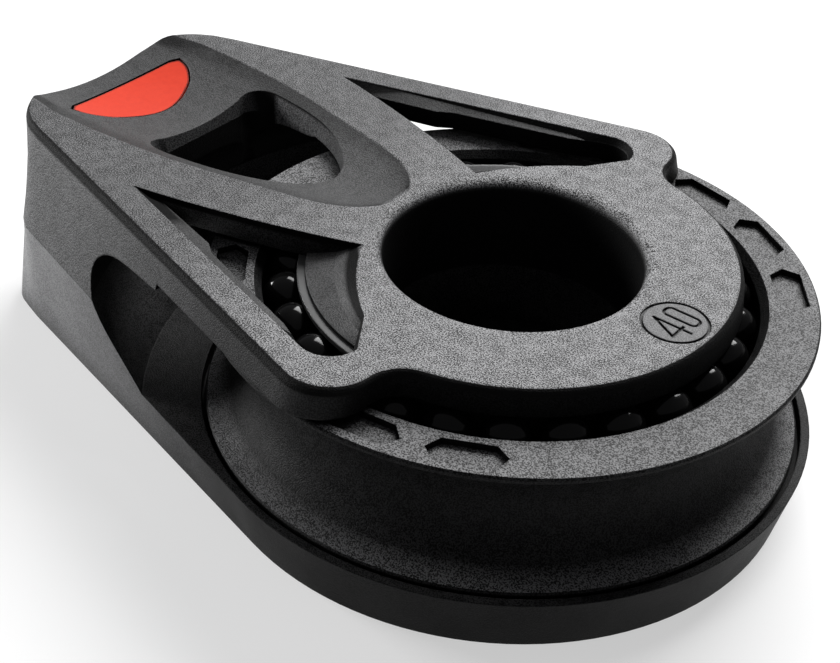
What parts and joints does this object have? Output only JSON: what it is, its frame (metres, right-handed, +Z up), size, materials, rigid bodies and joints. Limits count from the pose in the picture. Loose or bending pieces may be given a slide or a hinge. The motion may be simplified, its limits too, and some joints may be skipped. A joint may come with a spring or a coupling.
{
  "type": "sailing cheek block",
  "caption": "Flat-mounted sailing cheek block: a ball-bearing grooved sheave between two black moulded halves turns a rope beside a deck or mast.",
  "frame": {"origin": "on the sheave's axis at the flat face that lies on the deck, midway between the two hub screws", "axes": "+Z up along the sheave's axis, +X from the head towards the round nose, +Y across the block"},
  "size_m": [0.0603, 0.0418, 0.0152],
  "materials": {
    "filled_nylon": "fine sand-textured black glass-filled nylon",
    "acetal": "smooth black acetal",
    "ball": "polished black acetal balls",
    "badge_red": "glossy orange-red inlay, left bare",
    "screw_steel": "plain stainless"
  },
  "bodies": {
    "frame": {"base_moulding": "filled_nylon", "cheek_moulding": "filled_nylon", "race_ring_upper": "acetal", "race_ring_lower": "acetal", "badge_inlay": "badge_red", "assembly_screw_hub_front": "screw_steel", "assembly_screw_hub_rear": "screw_steel", "assembly_screw_head_left": "screw_steel", "assembly_screw_head_right": "screw_steel"},
    "sheave": {"sheave": "filled_nylon"},
    "ball_train_upper": {"balls_upper": "ball"},
    "ball_train_lower": {"balls_lower": "ball"}
  },
  "joints": [
    {"name": "sheave_spin", "type": "hinge", "parent": "frame", "child": "sheave", "pos_m": [0, 0, 0.0084], "axis": [0, 0, 1], "continuous": true},
    {"name": "upper_balls_orbit", "type": "hinge", "parent": "frame", "child": "ball_train_upper", "pos_m": [0, 0, 0.0115], "axis": [0, 0, 1], "continuous": true},
    {"name": "lower_balls_orbit", "type": "hinge", "parent": "frame", "child": "ball_train_lower", "pos_m": [0, 0, 0.0053], "axis": [0, 0, 1], "continuous": true}
  ],
  "couplings": [
    {"joint": "upper_balls_orbit", "follows": "sheave_spin", "ratio": 0.5386},
    {"joint": "lower_balls_orbit", "follows": "sheave_spin", "ratio": 0.5386}
  ]
}
